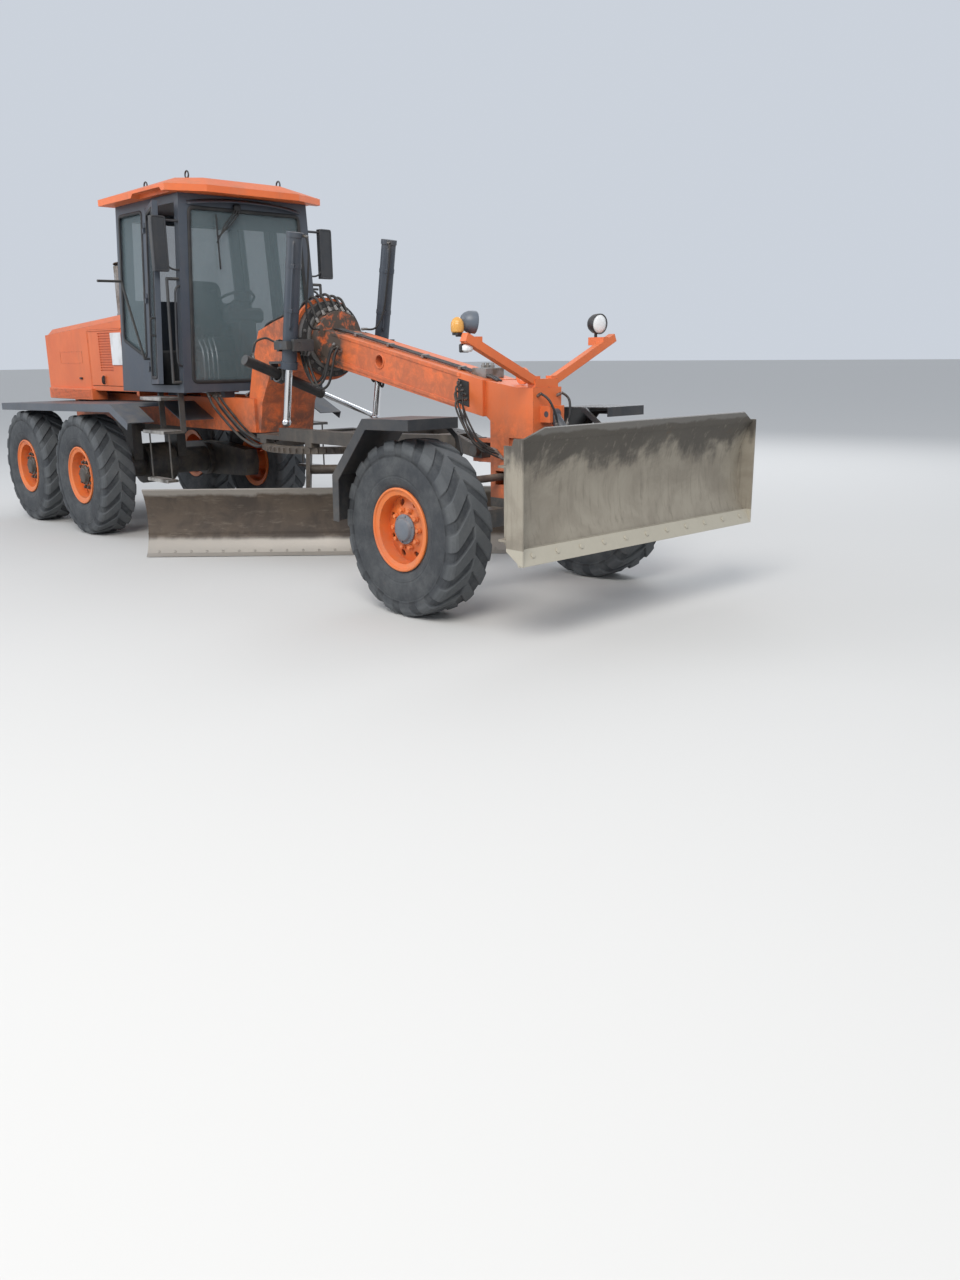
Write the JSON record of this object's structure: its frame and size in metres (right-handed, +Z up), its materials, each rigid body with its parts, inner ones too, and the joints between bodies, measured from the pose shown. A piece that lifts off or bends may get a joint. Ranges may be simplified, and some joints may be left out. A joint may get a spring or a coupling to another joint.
{
  "type": "motor grader",
  "caption": "Six-wheeled road grader with a hinged front dozer blade, a turning and tilting main blade on a drawbar, leaning front wheels, glazed cab and opening doors.",
  "frame": {"origin": "middle of the bounding box in plan, on the ground under the tyres", "axes": "+X forward, +Y to the operator's left, +Z up"},
  "size_m": [8.9034, 2.8145, 3.4499],
  "materials": {
    "orange_paint": "semi-gloss, dusty",
    "wheel_paint": "satin, dusty",
    "dark_frame": "satin, worn",
    "grey_deck": "satin, scuffed",
    "cab_paint": "satin, dusty",
    "engine": "dull",
    "cylinder_blue": "satin",
    "cylinder_black": "satin",
    "chrome_rod": "polished",
    "steel": "machined",
    "blade_steel": "worn",
    "dozer_steel": "dusty, worn",
    "tyre": "dusty",
    "glass": "clear",
    "black_trim": "matte",
    "lamp_black": "gloss",
    "exhaust": "heat-stained"
  },
  "bodies": {
    "chassis": {"main_frame": "orange_paint", "front_bolster": "orange_paint", "saddle": "dark_frame", "front_axle": "dark_frame", "tandem_axle": "dark_frame", "rear_fenders": "grey_deck", "powertrain": "engine", "hood": "orange_paint", "radiator_grille": "dark_frame", "exhaust_stack": "exhaust", "cab_body": "cab_paint", "cab_roof": "orange_paint", "cab_glass": "glass", "cab_interior": "black_trim", "cab_steps": "dark_frame", "mirrors": "black_trim", "light_bar": "orange_paint", "work_lamps": "lamp_black"},
    "lean_right": {"lean_bracket_right": "dark_frame"},
    "steer_right": {"knuckle_right": "dark_frame", "front_fender_right": "black_trim"},
    "lift_gimbal_right": {"lift_gimbal_right": "dark_frame"},
    "lift_barrel_right": {"lift_barrel_right": "cylinder_blue"},
    "lift_rod_right": {"lift_rod_right": "chrome_rod"},
    "hood_door_right": {"hood_door_right": "orange_paint"},
    "door_right": {"door_right": "cab_paint"},
    "front_wheel_right": {"wheel_front_right": "wheel_paint", "tyre_front_right": "tyre"},
    "mid_wheel_right": {"wheel_mid_right": "wheel_paint", "tyre_mid_right": "tyre"},
    "rear_wheel_right": {"wheel_rear_right": "wheel_paint", "tyre_rear_right": "tyre"},
    "lean_left": {"lean_bracket_left": "dark_frame"},
    "steer_left": {"knuckle_left": "dark_frame", "front_fender_left": "black_trim"},
    "lift_gimbal_left": {"lift_gimbal_left": "dark_frame"},
    "lift_barrel_left": {"lift_barrel_left": "cylinder_blue"},
    "lift_rod_left": {"lift_rod_left": "chrome_rod"},
    "hood_door_left": {"hood_door_left": "orange_paint"},
    "door_left": {"door_left": "cab_paint"},
    "front_wheel_left": {"wheel_front_left": "wheel_paint", "tyre_front_left": "tyre"},
    "mid_wheel_left": {"wheel_mid_left": "wheel_paint", "tyre_mid_left": "tyre"},
    "rear_wheel_left": {"wheel_rear_left": "wheel_paint", "tyre_rear_left": "tyre"},
    "lean_bar": {"lean_bar": "steel"},
    "tie_rod": {"tie_rod": "steel"},
    "side_shift_yoke": {"side_shift_yoke": "steel"},
    "side_shift_barrel": {"side_shift_barrel": "cylinder_black"},
    "side_shift_rod": {"side_shift_rod": "chrome_rod"},
    "drawbar_swivel": {"drawbar_swivel": "dark_frame"},
    "drawbar": {"drawbar": "dark_frame"},
    "turntable": {"turntable": "blade_steel"},
    "blade_carrier": {"blade_carrier": "dark_frame"},
    "moldboard": {"moldboard": "blade_steel"},
    "dozer": {"dozer": "dozer_steel"},
    "dozer_barrel": {"dozer_barrel": "cylinder_blue"},
    "dozer_rod": {"dozer_rod": "chrome_rod"},
    "tie_rod_stud": {"tie_rod_stud": "steel"}
  },
  "joints": [
    {"name": "drawbar_swing", "type": "hinge", "parent": "chassis", "child": "drawbar_swivel", "pos_m": [2.75, 0, 1.1], "axis": [0, 0, 1], "range_deg": [-10, 10]},
    {"name": "drawbar_lift", "type": "hinge", "parent": "drawbar_swivel", "child": "drawbar", "pos_m": [2.75, 0, 1.1], "axis": [0, 1, 0], "range_deg": [-7, 11]},
    {"name": "circle_turn", "type": "hinge", "parent": "drawbar", "child": "turntable", "pos_m": [0.74, 0, 1.03], "axis": [0, 0, 1], "continuous": true},
    {"name": "blade_tip", "type": "hinge", "parent": "turntable", "child": "blade_carrier", "pos_m": [0.54985, 0.17732, 0.38], "axis": [0.682, 0.7314, 0], "range_deg": [-20, 20]},
    {"name": "blade_slide", "type": "slide", "parent": "blade_carrier", "child": "moldboard", "axis": [0.682, 0.7314, 0], "range_m": [-0.75, 0.75]},
    {"name": "gimbal_right", "type": "hinge", "parent": "chassis", "child": "lift_gimbal_right", "pos_m": [0.84, -0.5, 1.92], "axis": [1, 0, 0], "range_deg": [-30.1, 30.1]},
    {"name": "lift_barrel_right", "type": "hinge", "parent": "lift_gimbal_right", "child": "lift_barrel_right", "pos_m": [0.84, -0.5, 1.92], "axis": [0, 1, 0], "range_deg": [-2.2, 3.4]},
    {"name": "lift_rod_right", "type": "slide", "parent": "lift_barrel_right", "child": "lift_rod_right", "axis": [0.1836, 0, 0.983], "range_m": [-0.26, 0.4]},
    {"name": "gimbal_left", "type": "hinge", "parent": "chassis", "child": "lift_gimbal_left", "pos_m": [0.84, 0.5, 1.92], "axis": [1, 0, 0], "range_deg": [-30.1, 30.1]},
    {"name": "lift_barrel_left", "type": "hinge", "parent": "lift_gimbal_left", "child": "lift_barrel_left", "pos_m": [0.84, 0.5, 1.92], "axis": [0, 1, 0], "range_deg": [-2.2, 3.4]},
    {"name": "lift_rod_left", "type": "slide", "parent": "lift_barrel_left", "child": "lift_rod_left", "axis": [0.1836, 0, 0.983], "range_m": [-0.26, 0.4]},
    {"name": "shift_yoke", "type": "hinge", "parent": "chassis", "child": "side_shift_yoke", "pos_m": [0.565, -0.44, 1.665], "axis": [-0.9969, -0.0785, 0], "range_deg": [-23, 14.7]},
    {"name": "shift_barrel", "type": "hinge", "parent": "side_shift_yoke", "child": "side_shift_barrel", "pos_m": [0.565, -0.44, 1.665], "axis": [-0.7365, 0.2076, 0.6438], "range_deg": [-10.6, 10.6]},
    {"name": "shift_rod", "type": "slide", "parent": "side_shift_barrel", "child": "side_shift_rod", "axis": [-0.0735, 0.9344, -0.3487], "range_m": [-0.365, 0.365]},
    {"name": "wheel_lean_right", "type": "hinge", "parent": "chassis", "child": "lean_right", "pos_m": [3.1, -0.66, 0.62], "axis": [1, 0, 0], "range_deg": [-18, 18]},
    {"name": "wheel_lean_left", "type": "hinge", "parent": "chassis", "child": "lean_left", "pos_m": [3.1, 0.66, 0.62], "axis": [1, 0, 0], "range_deg": [-18, 18]},
    {"name": "lean_bar", "type": "hinge", "parent": "lean_right", "child": "lean_bar", "pos_m": [3.1, -0.66, 0.92], "axis": [1, 0, 0], "range_deg": [-18.1, 18.1]},
    {"name": "steer_right", "type": "hinge", "parent": "lean_right", "child": "steer_right", "pos_m": [3.1, -0.8, 0.63], "axis": [0, 0, 1], "range_deg": [-35, 35]},
    {"name": "steer_left", "type": "hinge", "parent": "lean_left", "child": "steer_left", "pos_m": [3.1, 0.8, 0.63], "axis": [0, 0, 1], "range_deg": [-35, 35]},
    {"name": "tie_rod_stud", "type": "hinge", "parent": "steer_right", "child": "tie_rod_stud", "pos_m": [2.91, -0.8, 0.6], "axis": [0, 0, 1], "range_deg": [-35.1, 35.1]},
    {"name": "tie_rod", "type": "hinge", "parent": "tie_rod_stud", "child": "tie_rod", "pos_m": [2.91, -0.8, 0.566], "axis": [1, 0, 0], "range_deg": [-15.1, 15.1]},
    {"name": "spin_front_right", "type": "hinge", "parent": "steer_right", "child": "front_wheel_right", "pos_m": [3.1, -0.98, 0.63], "axis": [0, 1, 0], "continuous": true},
    {"name": "spin_mid_right", "type": "hinge", "parent": "chassis", "child": "mid_wheel_right", "pos_m": [-2.225, -1.06, 0.63], "axis": [0, 1, 0], "continuous": true},
    {"name": "spin_rear_right", "type": "hinge", "parent": "chassis", "child": "rear_wheel_right", "pos_m": [-3.715, -1.06, 0.63], "axis": [0, 1, 0], "continuous": true},
    {"name": "spin_front_left", "type": "hinge", "parent": "steer_left", "child": "front_wheel_left", "pos_m": [3.1, 0.98, 0.63], "axis": [0, 1, 0], "continuous": true},
    {"name": "spin_mid_left", "type": "hinge", "parent": "chassis", "child": "mid_wheel_left", "pos_m": [-2.225, 1.06, 0.63], "axis": [0, 1, 0], "continuous": true},
    {"name": "spin_rear_left", "type": "hinge", "parent": "chassis", "child": "rear_wheel_left", "pos_m": [-3.715, 1.06, 0.63], "axis": [0, 1, 0], "continuous": true},
    {"name": "dozer_lift", "type": "hinge", "parent": "chassis", "child": "dozer", "pos_m": [3.33, 0, 0.8], "axis": [0, 1, 0], "range_deg": [-3, 36]},
    {"name": "dozer_barrel", "type": "hinge", "parent": "chassis", "child": "dozer_barrel", "pos_m": [3.515, 0, 1.4], "axis": [0, 1, 0], "range_deg": [-2, 19]},
    {"name": "dozer_rod", "type": "slide", "parent": "dozer_barrel", "child": "dozer_rod", "axis": [0.6564, 0, -0.7544], "range_m": [-0.03, 0.31]},
    {"name": "door_left", "type": "hinge", "parent": "chassis", "child": "door_left", "pos_m": [-1.25, 0.815, 1.5], "axis": [0, -0.0555, 0.9985], "range_deg": [0, 90]},
    {"name": "door_right", "type": "hinge", "parent": "chassis", "child": "door_right", "pos_m": [-1.25, -0.815, 1.5], "axis": [0, 0.0555, 0.9985], "range_deg": [-70, 20]},
    {"name": "hood_door_left", "type": "hinge", "parent": "chassis", "child": "hood_door_left", "pos_m": [-2.6915, 0.6, 2.129], "axis": [1, 0, 0], "range_deg": [0, 80]},
    {"name": "hood_door_right", "type": "hinge", "parent": "chassis", "child": "hood_door_right", "pos_m": [-2.6915, -0.6, 2.129], "axis": [-1, 0, 0], "range_deg": [0, 80]}
  ],
  "couplings": [
    {"joint": "gimbal_right", "follows": "drawbar_swing", "ratio": -3},
    {"joint": "lift_barrel_right", "follows": "drawbar_lift", "ratio": 0.3},
    {"joint": "lift_rod_right", "follows": "drawbar_lift", "m_per_rad": 2.03},
    {"joint": "gimbal_left", "follows": "drawbar_swing", "ratio": -3},
    {"joint": "lift_barrel_left", "follows": "drawbar_lift", "ratio": 0.3},
    {"joint": "lift_rod_left", "follows": "drawbar_lift", "m_per_rad": 2.03},
    {"joint": "shift_yoke", "follows": "drawbar_lift", "ratio": -2.08},
    {"joint": "shift_barrel", "follows": "drawbar_swing", "ratio": 1.0341},
    {"joint": "shift_rod", "follows": "drawbar_swing", "m_per_rad": -2.0529},
    {"joint": "wheel_lean_left", "follows": "wheel_lean_right", "ratio": 1},
    {"joint": "lean_bar", "follows": "wheel_lean_right", "ratio": -1},
    {"joint": "steer_left", "follows": "steer_right", "ratio": 1},
    {"joint": "tie_rod_stud", "follows": "steer_right", "ratio": -1},
    {"joint": "tie_rod", "follows": "wheel_lean_right", "ratio": -0.828},
    {"joint": "dozer_barrel", "follows": "dozer_lift", "ratio": 0.5},
    {"joint": "dozer_rod", "follows": "dozer_lift", "m_per_rad": 0.473}
  ]
}
